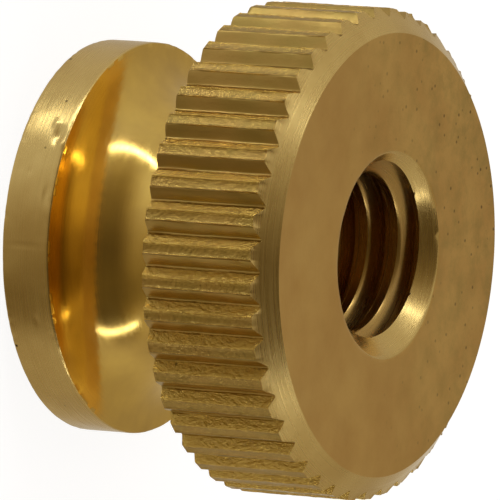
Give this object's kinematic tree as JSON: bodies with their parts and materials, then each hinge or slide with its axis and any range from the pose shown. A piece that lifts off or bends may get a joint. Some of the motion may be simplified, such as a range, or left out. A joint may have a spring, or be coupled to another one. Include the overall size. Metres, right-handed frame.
{
  "type": "knurled thumb nut",
  "caption": "Small turned brass thumb nut: straight-knurled head, concave neck and plain collar, with a threaded through hole and countersunk front face.",
  "frame": {"origin": "centre of the collar's flat bearing face, which the nut stands on", "axes": "+Z along the thread axis, from the collar to the knurled head's countersunk front face"},
  "size_m": [0.01, 0.01, 0.0067],
  "materials": {
    "brass": "turned brass, satin on the faces and rims, bright in the neck, with a rolled straight knurl"
  },
  "bodies": {
    "root": {"knurled_nut": "brass"}
  },
  "joints": []
}
